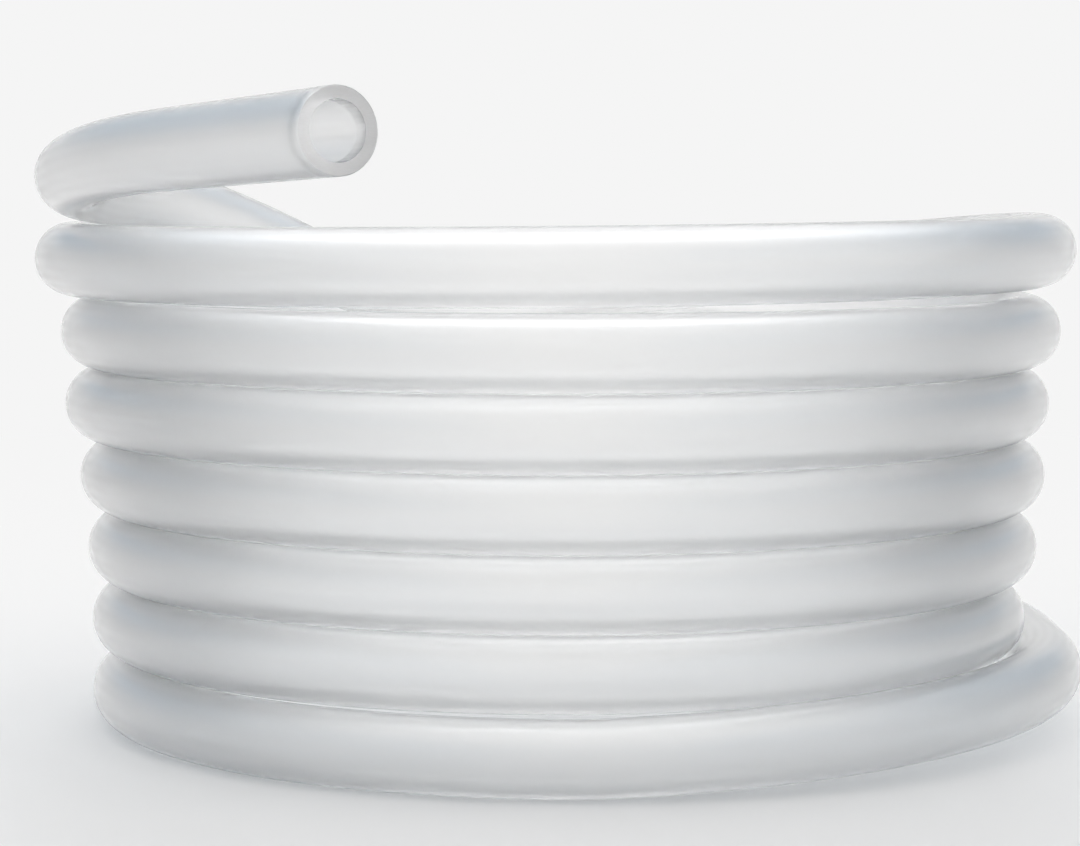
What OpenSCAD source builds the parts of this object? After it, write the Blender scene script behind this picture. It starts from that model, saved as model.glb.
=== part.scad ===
// A coil of translucent silicone laboratory tubing, 7 mm bore and 10 mm outside, 3 m long.
// It is one length of tube, wound in seven turns that lie on one another round an open
// middle. The lower end lies on the bench behind the coil. The upper end leaves the top
// turn at the left and stands out in front of it.
// The axis of the coil is Z, the bench is z = 0, and the front is -Y.

/* [Tube] */
// Diameter of the bore
bore_d = 7; // [6.5:0.1:7.5]
// Outside diameter of the tube
tube_d = 10; // [9.5:0.1:10]
// Length of the straight piece at the lower cut end
lower_end = 20; // [15:1:25]
// Length of the straight piece at the upper cut end
upper_end = 43; // [30:1:45]

/* [Coil] */
// Gap between one turn and the next
turn_gap = 0.1; // [0.1:0.05:0.3]
// How far each turn's centre line reaches to the left of the axis, lowest turn first
left_reach = [61.5, 61.5, 62, 63, 65, 65.5, 69]; // [60:0.5:70]
// How far each turn's centre line reaches to the right of the axis, lowest turn first
right_reach = [69, 61, 62.5, 63.5, 64, 65.5, 67.5]; // [60:0.5:70]
// Height by which the lowest turn stands off the bench where it flares out at the right
flare_lift = 3; // [1:0.5:5]
// How far the lowest turn runs on behind the others before it turns
flare_back = 15; // [5:1:20]
// Height by which the top turn's right side is raised
top_lift = 1.2; // [0:0.1:1.5]

/* [Hidden] */

// The swept tube has this many sides outside, and half as many in its bore
sides = 16;
// Most that the tube bends from one ring of the sweep to the next, in degrees
ring_step = 12;
// The swept wall's corners lie this far inside the tube's wall, and at the end pieces this far
wall_skin = 0.02;
joint_skin = 0.25;
// The swept tube runs straight for this far outside each end piece, and as far inside it
end_lap = 1;
lower_straight = lower_end + end_lap;

turns = len(left_reach);
top = turns - 1;
pitch = tube_d + turn_gap;

// The tube lies on the bench from its lower end to the front. There it starts to climb, on
// a gentle upward bend, and it is flare_lift off the bench at the right.
tail_r = 310;
tail_bend = 5;
climb_r = 40;
flare_span = left_reach[0] + right_reach[0];
flare_tilt = asin(2 * flare_lift / flare_span);
flare_r = (flare_span - climb_r * sin(flare_tilt)) / (1 + cos(flare_tilt));
flare_rise = flare_r * sin(flare_tilt) + climb_r * (1 - cos(flare_tilt));

// Each later turn is a level half at the front, and the half behind it climbs to the next
// turn. Both are half circles that meet at the coil's left and right sides.
function front_r(i) = (left_reach[i] + right_reach[i]) / 2;
function back_span(i) = left_reach[i + 1] + right_reach[i];
function back_rise(i) = i == 0 ? pitch - flare_rise : pitch;
function back_r(i) = norm([back_span(i), back_rise(i)]) / 2;
function back_tilt(i) = atan2(back_rise(i), back_span(i));
top_tilt = atan2(top_lift, 2 * front_r(top));

// The bends of the tube, from its lower end to its upper one. A bend is a straight feed,
// then a roll of the bending plane round the tube, and then a bend radius and angle.
lower_bends = [
    [lower_straight, 0, tail_r, tail_bend],
    [0, 0, flare_r, 90],
    [0, 90, climb_r, flare_tilt],
    [0, -90, flare_r, 90],
    [flare_back, back_tilt(0) + flare_tilt, back_r(0), 180],
    [flare_back, back_tilt(0), front_r(1), 180]
];
turn_bends = [
    for (i = [1 : top - 1]) each [
        [0, back_tilt(i), back_r(i), 180],
        [0, back_tilt(i) + (i + 1 == top ? top_tilt : 0), front_r(i + 1), 180]
    ]
];
upper_bends = [
    [0, -6, 38, 69],
    [0, 1, 110, 26],
    [0, 42, 49, 44],
    [0, -66, 67, 35],
    [0, 38, 54, 37],
    [0, -8, 143, 16]
];
bends = concat(lower_bends, turn_bends, upper_bends);

// A frame on the tube's centre line is its point, its heading, the direction that the next
// bend turns toward, and a mark on the wall, which is carried along without a twist.
lower_cut = [
    [
        tail_r * (1 - cos(tail_bend)) + lower_straight * sin(tail_bend) - left_reach[0],
        tail_r * sin(tail_bend) + lower_straight * cos(tail_bend),
        tube_d / 2
    ],
    [-sin(tail_bend), -cos(tail_bend), 0],
    [cos(tail_bend), -sin(tail_bend), 0],
    [0, 0, 1]
];
function turned(v, axis, angle) =
    cos(angle) * v + sin(angle) * cross(axis, v) + (1 - cos(angle)) * (axis * v) * axis;
function fed(f, feed) = [f[0] + feed * f[1], f[1], f[2], f[3]];
function rolled(f, roll) = [f[0], f[1], turned(f[2], f[1], roll), f[3]];
function bent(f, radius, angle) =
    let (axis = cross(f[1], f[2]))
    [
        f[0] + radius * (sin(angle) * f[1] + (1 - cos(angle)) * f[2]),
        turned(f[1], axis, angle),
        turned(f[2], axis, angle),
        turned(f[3], axis, angle)
    ];

// The frame at which each bend starts and, at the end of the list, the one after them all.
function made_ready(f, bend) = rolled(fed(f, bend[0]), bend[1]);
function after(f, bend) = bent(made_ready(f, bend), bend[2], bend[3]);
starts = [
    for (i = 0, f = lower_cut; i <= len(bends); f = i < len(bends) ? after(f, bends[i]) : f, i = i + 1) f
];
upper_start = starts[len(bends)];

// The frames of the sweep's rings.
function ring_count(bend) = ceil(bend[3] / ring_step);
ring_frames = [
    fed(lower_cut, lower_end - end_lap),
    for (i = [0 : len(bends) - 1])
        let (bend = bends[i], f = made_ready(starts[i], bend), n = ring_count(bend))
        for (k = [bend[0] > 0 ? 0 : 1 : n]) bent(f, bend[2], bend[3] * k / n),
    fed(upper_start, 2 * end_lap)
];

function ring(f, n, r) = [
    for (j = [0 : n - 1])
        f[0] + r * (cos(360 * j / n) * f[3] + sin(360 * j / n) * cross(f[1], f[3]))
];

// The tube between its two end pieces: an outer skin, a bore, and a flat ring at each end.
module swept_tube() {
    bore_sides = sides / 2;
    rings = len(ring_frames);
    last = rings - 1;
    function skin(i) = i < 2 || i > last - 2 ? joint_skin : wall_skin;
    function inner_r(i) = (bore_d / 2 + skin(i) / 2) / cos(180 / bore_sides);
    outer = [for (i = [0 : last]) each ring(ring_frames[i], sides, tube_d / 2 - skin(i))];
    inner = [for (i = [0 : last]) each ring(ring_frames[i], bore_sides, inner_r(i))];
    function o(i, j) = i * sides + j % sides;
    function b(i, j) = rings * sides + i * bore_sides + j % bore_sides;
    skin_faces = [
        for (i = [0 : rings - 2], j = [0 : sides - 1])
            [o(i, j), o(i + 1, j), o(i + 1, j + 1), o(i, j + 1)]
    ];
    bore_faces = [
        for (i = [0 : rings - 2], j = [0 : bore_sides - 1])
            [b(i, j), b(i, j + 1), b(i + 1, j + 1), b(i + 1, j)]
    ];
    first_face = [
        for (j = [0 : bore_sides - 1]) each [
            [o(0, 2 * j), o(0, 2 * j + 1), b(0, j)],
            [o(0, 2 * j + 1), b(0, j + 1), b(0, j)],
            [o(0, 2 * j + 1), o(0, 2 * j + 2), b(0, j + 1)]
        ]
    ];
    last_face = [
        for (j = [0 : bore_sides - 1]) each [
            [o(last, 2 * j), b(last, j), o(last, 2 * j + 1)],
            [o(last, 2 * j + 1), b(last, j), b(last, j + 1)],
            [o(last, 2 * j + 1), b(last, j + 1), o(last, 2 * j + 2)]
        ]
    ];
    polyhedron(concat(outer, inner), concat(skin_faces, bore_faces, first_face, last_face));
}

// A straight piece of tube with a true round bore, which starts at a frame.
module straight_tube(f, length) {
    side = cross(f[1], f[3]);
    multmatrix([for (k = [0 : 2]) [f[3][k], side[k], f[1][k], f[0][k]]])
        linear_extrude(length)
            difference() {
                circle(d = tube_d, $fn = 64);
                circle(d = bore_d, $fn = 64);
            }
}

module tubing() {
    color("whitesmoke")
        union() {
            straight_tube(lower_cut, lower_end);
            swept_tube();
            straight_tube(fed(upper_start, end_lap), upper_end);
        }
}

tubing();
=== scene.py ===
import math

import bpy
from mathutils import Matrix, Vector


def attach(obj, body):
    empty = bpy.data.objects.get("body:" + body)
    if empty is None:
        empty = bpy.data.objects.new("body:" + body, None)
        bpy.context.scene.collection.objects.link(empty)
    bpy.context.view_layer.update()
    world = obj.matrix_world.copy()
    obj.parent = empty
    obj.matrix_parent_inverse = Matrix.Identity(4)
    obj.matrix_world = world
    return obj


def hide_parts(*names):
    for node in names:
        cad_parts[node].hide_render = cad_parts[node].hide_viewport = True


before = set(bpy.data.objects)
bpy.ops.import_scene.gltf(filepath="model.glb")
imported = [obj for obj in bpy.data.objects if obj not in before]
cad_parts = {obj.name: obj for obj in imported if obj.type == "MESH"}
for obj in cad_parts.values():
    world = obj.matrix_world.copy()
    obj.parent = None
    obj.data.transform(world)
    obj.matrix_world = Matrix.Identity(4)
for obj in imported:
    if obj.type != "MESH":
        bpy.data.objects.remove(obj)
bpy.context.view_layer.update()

# ---------------------------------------------------------------- sizes, in metres and degrees
MM = 0.001

# The tube. Its straight ends are 1 mm longer here than the source's round end pieces,
# because the source sweeps that last millimetre.
TUBE_D = 10 * MM
BORE_D = 7 * MM
LOWER_END = 21 * MM
UPPER_END = 44 * MM

# The coil, as the part's source has it. The lowest turn comes first.
PITCH = TUBE_D + 0.1 * MM
LEFT_REACH = [x * MM for x in (61.5, 61.5, 62, 63, 65, 65.5, 69)]
RIGHT_REACH = [x * MM for x in (69, 61, 62.5, 63.5, 64, 65.5, 67.5)]
FLARE_LIFT = 3 * MM
FLARE_BACK = 15 * MM
TOP_LIFT = 1.2 * MM
TAIL_R = 310 * MM
TAIL_BEND = 5
CLIMB_R = 40 * MM

# The free upper end leaves the top turn behind the eye: feed, roll, bend radius, bend angle.
UPPER_BENDS = [
    (0, -6, 38 * MM, 69),
    (0, 1, 110 * MM, 26),
    (0, 42, 49 * MM, 44),
    (0, -66, 67 * MM, 35),
    (0, 38, 54 * MM, 37),
    (0, -8, 143 * MM, 16),
]

# The mesh of the tube. The cut takes LIP off the skin's edge.
RING_STEP = 3 * MM
SKIN_SIDES = 48
BORE_SIDES = 32
LIP = 0.12 * MM

# The camera stands in front of the coil, a little above its top turn.
CAMERA_PLACE = (0, -0.463, 0.0787)
CAMERA_TILT = 85.44
CAMERA_TURN = 0.36
CAMERA_CLIP = (0.01, 50)
LENS_MM = 108.3
SENSOR_MM = 36

# The silicone's skin. Its roughness follows the die lines, this many round the tube, which
# wander by this many radians a metre along it.
CLEAR_SILICONE = (0.9985, 0.9975, 0.9955, 1)
SILICONE_IOR = 1.41
SKIN_ROUGHNESS = (0.28, 0.32)
COAT_WEIGHT = 0.8
COAT_ROUGHNESS = 0.05
LINE_COUNT = 22
LINE_CHANGE = 9

# The cut faces. The knife marks are this fine along each axis, per metre.
CUT_DARK = (0.83, 0.82, 0.815, 1)
CUT_PALE = (0.93, 0.92, 0.915, 1)
CUT_ROUGHNESS = 0.6
CUT_CLEARNESS = 0.5
KNIFE_MARKS = (1500, 1500, 9000)
KNIFE_DETAIL = 3
KNIFE_DEPTH = 0.03 * MM
KNIFE_STRENGTH = 0.4

# The studio. Heights and distances to the side are parts of a ray's direction.
WHITE = (1, 1, 1, 1)
BACKDROP = (0.913, 0.913, 0.913, 1)
# Light on the floor and the cut faces, from the horizon to straight up
SKY_LIGHT = (0.55, 1.18)
# The tent that reflections and the clear wall show, and how bright it is low and high up
TENT_RISE = (0.3, 0.9)
TENT_LIGHT = (0.86, 1.03)
# The bluish band in it fades in and out with height, and is away from the middle.
BLUE_SKY = (0.42, 0.53, 0.64, 1)
SKY_STARTS = (0.12, 0.35)
SKY_ENDS = (0.7, 0.95)
SKY_ASIDE = (0.15, 0.5)
# The tent is dimmer to both sides and in front.
SIDES_FROM = (0.5, 1)
SIDES_DIM = 0.65
FRONT_FROM = (-0.6, 0)
FRONT_DIM = 0.95
# A soft light overhead, which only reflections show. Its edge is a cosine from its axis.
SOFTBOX_AXIS = (0, 0.317, 0.948)
SOFTBOX_EDGE = (0.76, 0.84)
SOFTBOX_LIGHT = 0.9

# The floor is lit near the coil and plain backdrop from the second distance on.
SHADOW_REACH = (0.15, 0.5)
# The clear coil lets light through, so much of the shade under it is painted into the floor's
# colour: a painted shadow in front of the coil, and a painted contact shadow under its rim.
PAINTED_SHADE_CENTRE = (0, -0.08, 0)
PAINTED_SHADE_REACH = (0.04, 0.11)
PAINTED_SHADE_COLOUR = (0.77, 0.93)
# A painted contact shadow: the floor is darker inside the first distance from the coil's axis, and
# plain beyond the second.
PAINTED_CONTACT_REACH = (0.055, 0.075)
PAINTED_CONTACT_SHADE = 0.85
# The painted shade is this much paler where the coil itself sees the floor.
PAINTED_SHADE_LIFT = 0.04
FLOOR_HALF = 6

# How often light may bounce, in all and off the floor
BOUNCES = 14
FLOOR_BOUNCES = 2


# ---------------------------------------------------------------- camera
def make_camera():
    data = bpy.data.cameras.new("camera")
    data.lens = LENS_MM
    data.sensor_width = SENSOR_MM
    data.clip_start, data.clip_end = CAMERA_CLIP
    camera = bpy.data.objects.new("camera", data)
    camera.location = CAMERA_PLACE
    camera.rotation_euler = (math.radians(CAMERA_TILT), 0, math.radians(CAMERA_TURN))
    bpy.context.scene.collection.objects.link(camera)
    bpy.context.scene.camera = camera


# ---------------------------------------------------------------- the route of the tube
# A spot on the route is its point, its heading, the direction that the next bend turns
# toward, and a mark on the wall that is carried along without a twist.
def fed(spot, feed):
    point, heading, toward, mark = spot
    return (point + feed * heading, heading, toward, mark)


def rolled(spot, degrees):
    point, heading, toward, mark = spot
    return (point, heading, Matrix.Rotation(math.radians(degrees), 3, heading) @ toward, mark)


def bent(spot, radius, degrees):
    point, heading, toward, mark = spot
    angle = math.radians(degrees)
    turn = Matrix.Rotation(angle, 3, heading.cross(toward))
    moved = point + radius * (math.sin(angle) * heading + (1 - math.cos(angle)) * toward)
    return (moved, turn @ heading, turn @ toward, turn @ mark)


def lower_cut():
    """The spot at the lower cut end, which lies on the floor behind the coil."""
    bend = math.radians(TAIL_BEND)
    point = Vector((
        TAIL_R * (1 - math.cos(bend)) + LOWER_END * math.sin(bend) - LEFT_REACH[0],
        TAIL_R * math.sin(bend) + LOWER_END * math.cos(bend),
        TUBE_D / 2,
    ))
    heading = Vector((-math.sin(bend), -math.cos(bend), 0))
    toward = Vector((math.cos(bend), -math.sin(bend), 0))
    return (point, heading, toward, Vector((0, 0, 1)))


def coil_bends():
    """The bends of the whole tube, from its lower end to its upper one."""
    span = LEFT_REACH[0] + RIGHT_REACH[0]
    flare_tilt = math.asin(2 * FLARE_LIFT / span)
    flare_r = (span - CLIMB_R * math.sin(flare_tilt)) / (1 + math.cos(flare_tilt))
    flare_rise = flare_r * math.sin(flare_tilt) + CLIMB_R * (1 - math.cos(flare_tilt))
    top = len(LEFT_REACH) - 1
    flare_degrees = math.degrees(flare_tilt)

    def front_r(turn):
        return (LEFT_REACH[turn] + RIGHT_REACH[turn]) / 2

    def back_half(turn):
        """Radius and tilt in degrees of the half behind a turn, which climbs to the next one."""
        across = LEFT_REACH[turn + 1] + RIGHT_REACH[turn]
        rise = PITCH - flare_rise if turn == 0 else PITCH
        return math.hypot(across, rise) / 2, math.degrees(math.atan2(rise, across))

    radius, tilt = back_half(0)
    bends = [
        (LOWER_END, 0, TAIL_R, TAIL_BEND),
        (0, 0, flare_r, 90),
        (0, 90, CLIMB_R, flare_degrees),
        (0, -90, flare_r, 90),
        (FLARE_BACK, tilt + flare_degrees, radius, 180),
        (FLARE_BACK, tilt, front_r(1), 180),
    ]
    top_tilt = math.degrees(math.atan2(TOP_LIFT, 2 * front_r(top)))
    for turn in range(1, top):
        radius, tilt = back_half(turn)
        bends.append((0, tilt, radius, 180))
        bends.append((0, tilt + (top_tilt if turn + 1 == top else 0), front_r(turn + 1), 180))
    return bends + UPPER_BENDS


def route():
    """Evenly spaced spots along the tube, and how far along it each one is."""
    spot = lower_cut()
    spots, along = [spot], [0]

    def walk(length, place):
        steps = max(1, round(length / RING_STEP))
        start = along[-1]
        for k in range(1, steps + 1):
            spots.append(place(k / steps))
            along.append(start + length * k / steps)

    for feed, roll, radius, degrees in coil_bends():
        if feed:
            walk(feed, lambda part: fed(spot, feed * part))
            spot = fed(spot, feed)
        spot = rolled(spot, roll)
        walk(radius * math.radians(degrees), lambda part: bent(spot, radius, degrees * part))
        spot = bent(spot, radius, degrees)
    walk(UPPER_END, lambda part: fed(spot, UPPER_END * part))
    return spots, along


# ---------------------------------------------------------------- the tube
def ring(spot, sides, radius):
    point, heading, _, mark = spot
    side = heading.cross(mark)
    corners = []
    for k in range(sides):
        angle = math.tau * k / sides
        corners.append(point + radius * (math.cos(angle) * mark + math.sin(angle) * side))
    return corners


def tube_mesh(spots, along, skin, cut):
    """The skin, the bore and the two cut faces as one closed mesh."""
    verts, faces, slots, uvs = [], [], [], []
    skin_slot, cut_slot = 0, 1

    def sheet(rings, sides, distances, inward):
        """Joins rings into a wall. The UV map gives the place round and along the tube."""
        first = len(verts)
        for corners in rings:
            verts.extend(corners)
        for i in range(len(rings) - 1):
            for j in range(sides):
                corners = [(i, j), (i + 1, j), (i + 1, j + 1), (i, j + 1)]
                if not inward:
                    corners.reverse()
                faces.append([first + row * sides + place % sides for row, place in corners])
                uvs.extend((place / sides, distances[row]) for row, place in corners)
                slots.append(skin_slot)

    skin_rings = [ring(spot, SKIN_SIDES, TUBE_D / 2) for spot in spots]
    bore_rings = [ring(spot, BORE_SIDES, BORE_D / 2) for spot in spots]
    skin_rings[0] = ring(spots[0], SKIN_SIDES, TUBE_D / 2 - LIP)
    skin_rings.insert(1, ring(fed(spots[0], LIP), SKIN_SIDES, TUBE_D / 2))
    skin_rings[-1] = ring(spots[-1], SKIN_SIDES, TUBE_D / 2 - LIP)
    skin_rings.insert(-1, ring(fed(spots[-1], -LIP), SKIN_SIDES, TUBE_D / 2))
    skin_along = [along[0], along[0] + LIP] + along[1:-1] + [along[-1] - LIP, along[-1]]
    sheet(skin_rings, SKIN_SIDES, skin_along, inward=False)
    bore_first = len(verts)
    sheet(bore_rings, BORE_SIDES, along, inward=True)

    # A cut face joins the skin's last ring to the bore's: they have 3 and 2 parts a sector.
    sectors = math.gcd(SKIN_SIDES, BORE_SIDES)
    outer_step, inner_step = SKIN_SIDES // sectors, BORE_SIDES // sectors
    last_skin = (len(skin_rings) - 1) * SKIN_SIDES
    last_bore = bore_first + (len(bore_rings) - 1) * BORE_SIDES
    for skin_start, bore_start, flip in ((0, bore_first, False), (last_skin, last_bore, True)):
        for s in range(sectors):
            outer = [skin_start + (s * outer_step + k) % SKIN_SIDES for k in range(outer_step + 1)]
            inner = [bore_start + (s * inner_step + k) % BORE_SIDES for k in range(inner_step + 1)]
            loop = outer + inner[::-1]
            faces.append(loop[::-1] if flip else loop)
            uvs.extend((0, 0) for _ in loop)
            slots.append(cut_slot)

    mesh = bpy.data.meshes.new("silicone_tube")
    mesh.from_pydata([tuple(v) for v in verts], [], faces)
    mesh.uv_layers.new(name="tube").data.foreach_set("uv", [x for uv in uvs for x in uv])
    mesh.polygons.foreach_set("material_index", slots)
    mesh.polygons.foreach_set("use_smooth", [slot == skin_slot for slot in slots])
    mesh.materials.append(skin)
    mesh.materials.append(cut)
    mesh.update()
    return mesh


def make_tube(skin, cut):
    spots, along = route()
    mesh = tube_mesh(spots, along, skin, cut)
    tube = bpy.data.objects.new("silicone_tube", mesh)
    bpy.context.scene.collection.objects.link(tube)

    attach(tube, "root")
    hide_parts("tubing")


# ---------------------------------------------------------------- node helpers
def node(tree, kind, inputs=None, **settings):
    """Adds a node. An input is another node's output, which is linked, or a plain value."""
    made = tree.nodes.new(kind)
    for name, value in settings.items():
        setattr(made, name, value)
    for key, value in (inputs or {}).items():
        if isinstance(value, bpy.types.NodeSocket):
            tree.links.new(value, made.inputs[key])
        else:
            made.inputs[key].default_value = value
    return made


def maths(tree, operation, *values):
    return node(tree, "ShaderNodeMath", dict(enumerate(values)), operation=operation).outputs[0]


def ramp(tree, value, start, end, low=0, high=1):
    """Goes smoothly from low to high while the value goes from start to end."""
    inputs = {"Value": value, "From Min": start, "From Max": end, "To Min": low, "To Max": high}
    made = node(tree, "ShaderNodeMapRange", inputs, interpolation_type="SMOOTHSTEP")
    return made.outputs["Result"]


def blend(tree, share, first, second):
    """Mixes two colours. The node's colour sockets are found by number, as names repeat."""
    mix = node(tree, "ShaderNodeMix", {0: share, 6: first, 7: second}, data_type="RGBA")
    return mix.outputs[2]


def new_material(name):
    material = bpy.data.materials.new(name)
    material.use_nodes = True
    material.node_tree.nodes.clear()
    return material, material.node_tree


# ---------------------------------------------------------------- materials
def die_lines(tree):
    """Lines along the tube, as the extruder's die leaves them, that wander slowly round it."""
    place = node(tree, "ShaderNodeUVMap", uv_map="tube").outputs["UV"]
    spot = node(tree, "ShaderNodeSeparateXYZ", {0: place})
    wander = maths(tree, "SINE", maths(tree, "MULTIPLY", spot.outputs["Y"], LINE_CHANGE))
    around = maths(tree, "MULTIPLY", spot.outputs["X"], math.tau * LINE_COUNT)
    return maths(tree, "SINE", maths(tree, "ADD", around, wander))


def silicone_skin():
    """Clear silicone with a faint milkiness and a gloss, and with fine lines along the tube."""
    material, tree = new_material("silicone_skin")
    shader = node(tree, "ShaderNodeBsdfPrincipled", {
        "Base Color": CLEAR_SILICONE,
        "Roughness": ramp(tree, die_lines(tree), -1, 1, *SKIN_ROUGHNESS),
        "IOR": SILICONE_IOR,
        "Transmission Weight": 1,
        "Coat Weight": COAT_WEIGHT,
        "Coat Roughness": COAT_ROUGHNESS,
        "Coat IOR": SILICONE_IOR,
    })
    node(tree, "ShaderNodeOutputMaterial", {"Surface": shader.outputs[0]})
    return material


def cut_face():
    """The knife leaves the cut matt, with faint marks that run one way across it."""
    material, tree = new_material("cut_face")
    place = node(tree, "ShaderNodeNewGeometry").outputs["Position"]
    drawn = node(tree, "ShaderNodeVectorMath", {0: place, 1: KNIFE_MARKS}, operation="MULTIPLY")
    inputs = {"Vector": drawn.outputs[0], "Scale": 1, "Detail": KNIFE_DETAIL}
    marks = node(tree, "ShaderNodeTexNoise", inputs).outputs["Fac"]
    tone = blend(tree, marks, CUT_DARK, CUT_PALE)
    bump = node(tree, "ShaderNodeBump", {
        "Height": marks,
        "Strength": KNIFE_STRENGTH,
        "Distance": KNIFE_DEPTH,
    })
    shader = node(tree, "ShaderNodeBsdfPrincipled", {
        "Base Color": tone,
        "Roughness": CUT_ROUGHNESS,
        "IOR": SILICONE_IOR,
        "Transmission Weight": CUT_CLEARNESS,
        "Normal": bump.outputs[0],
    })
    node(tree, "ShaderNodeOutputMaterial", {"Surface": shader.outputs[0]})
    return material


# ---------------------------------------------------------------- floor and world
def make_floor():
    """A pale floor with a painted shadow, darker under and in front of the coil. Further off it is
    plain backdrop.
    """
    material, tree = new_material("floor")
    place = node(tree, "ShaderNodeNewGeometry").outputs["Position"]
    distance = node(tree, "ShaderNodeVectorMath", {0: place}, operation="LENGTH").outputs["Value"]
    in_front = node(tree, "ShaderNodeVectorMath", {0: place, 1: PAINTED_SHADE_CENTRE},
                    operation="DISTANCE").outputs["Value"]
    # Painted shadow: the floor's colour is darker in front of the coil and under its rim.
    shade = maths(tree, "MULTIPLY", ramp(tree, in_front, *PAINTED_SHADE_REACH, *PAINTED_SHADE_COLOUR),
                  ramp(tree, distance, *PAINTED_CONTACT_REACH, PAINTED_CONTACT_SHADE, 1))
    # The painted shade is paler for every ray except the camera's.
    unseen = maths(tree, "SUBTRACT", 1, node(tree, "ShaderNodeLightPath").outputs["Is Camera Ray"])
    shade = maths(tree, "ADD", shade, maths(tree, "MULTIPLY", PAINTED_SHADE_LIFT, unseen))
    lit = node(tree, "ShaderNodeBsdfDiffuse", {"Color": shade})
    plain = node(tree, "ShaderNodeEmission", {"Color": BACKDROP})
    mix = node(tree, "ShaderNodeMixShader", {
        0: ramp(tree, distance, *SHADOW_REACH),
        1: lit.outputs[0],
        2: plain.outputs[0],
    })
    node(tree, "ShaderNodeOutputMaterial", {"Surface": mix.outputs[0]})
    mesh = bpy.data.meshes.new("floor")
    half = FLOOR_HALF
    mesh.from_pydata([(-half, -half, 0), (half, -half, 0), (half, half, 0), (-half, half, 0)],
                     [], [(0, 1, 2, 3)])
    mesh.materials.append(material)
    floor = bpy.data.objects.new("floor", mesh)
    bpy.context.scene.collection.objects.link(floor)


def make_world():
    """White light falls on the floor and the cut faces, mostly from above. Reflections and
    the clear wall show the studio: a pale tent with a bluish band to both sides, dimmer sides
    and front, and a soft light overhead."""
    world = bpy.data.worlds.new("studio")
    bpy.context.scene.world = world
    world.use_nodes = True
    tree = world.node_tree
    tree.nodes.clear()
    direction = node(tree, "ShaderNodeTexCoord").outputs["Generated"]
    way = node(tree, "ShaderNodeSeparateXYZ", {0: direction})
    ray = node(tree, "ShaderNodeLightPath").outputs
    up = way.outputs["Z"]
    aside = maths(tree, "ABSOLUTE", way.outputs["X"])
    band = maths(tree, "MULTIPLY", ramp(tree, up, *SKY_STARTS), ramp(tree, up, *SKY_ENDS, 1, 0))
    share = maths(tree, "MULTIPLY", band, ramp(tree, aside, *SKY_ASIDE))
    height = ramp(tree, up, *TENT_RISE, *TENT_LIGHT)
    sky = blend(tree, share, height, BLUE_SKY)
    room = maths(tree, "MULTIPLY", ramp(tree, aside, *SIDES_FROM, 1, SIDES_DIM),
                 ramp(tree, way.outputs["Y"], *FRONT_FROM, FRONT_DIM, 1))
    dimmed = node(tree, "ShaderNodeVectorMath", {0: sky, "Scale": room}, operation="SCALE")
    overhead = node(tree, "ShaderNodeVectorMath", {0: direction, 1: SOFTBOX_AXIS},
                    operation="DOT_PRODUCT").outputs["Value"]
    softbox = maths(tree, "MULTIPLY", ramp(tree, overhead, *SOFTBOX_EDGE, 0, SOFTBOX_LIGHT),
                    ray["Is Glossy Ray"])
    studio_look = node(tree, "ShaderNodeVectorMath", {0: dimmed.outputs[0], 1: softbox},
                       operation="ADD")

    strength = ramp(tree, up, 0, 1, *SKY_LIGHT)
    light = node(tree, "ShaderNodeBackground", {"Color": WHITE, "Strength": strength})
    studio = node(tree, "ShaderNodeBackground", {"Color": studio_look.outputs[0]})
    backdrop = node(tree, "ShaderNodeBackground", {"Color": BACKDROP})
    gloss = maths(tree, "MAXIMUM", ray["Is Glossy Ray"], ray["Is Transmission Ray"])
    seen = node(tree, "ShaderNodeMixShader", {0: gloss, 1: light.outputs[0], 2: studio.outputs[0]})
    shown = node(tree, "ShaderNodeMixShader", {
        0: ray["Is Camera Ray"],
        1: seen.outputs[0],
        2: backdrop.outputs[0],
    })
    node(tree, "ShaderNodeOutputWorld", {"Surface": shown.outputs[0]})


def set_render():
    """Light crosses many walls, so paths are long, and no bounce is blurred to save time."""
    scene = bpy.context.scene
    scene.view_settings.view_transform = "Standard"
    scene.cycles.max_bounces = BOUNCES
    scene.cycles.transmission_bounces = BOUNCES
    scene.cycles.glossy_bounces = BOUNCES
    scene.cycles.diffuse_bounces = FLOOR_BOUNCES
    scene.cycles.blur_glossy = 0
    scene.world.cycles.sampling_method = "NONE"


make_camera()
make_tube(silicone_skin(), cut_face())
make_floor()
make_world()
set_render()
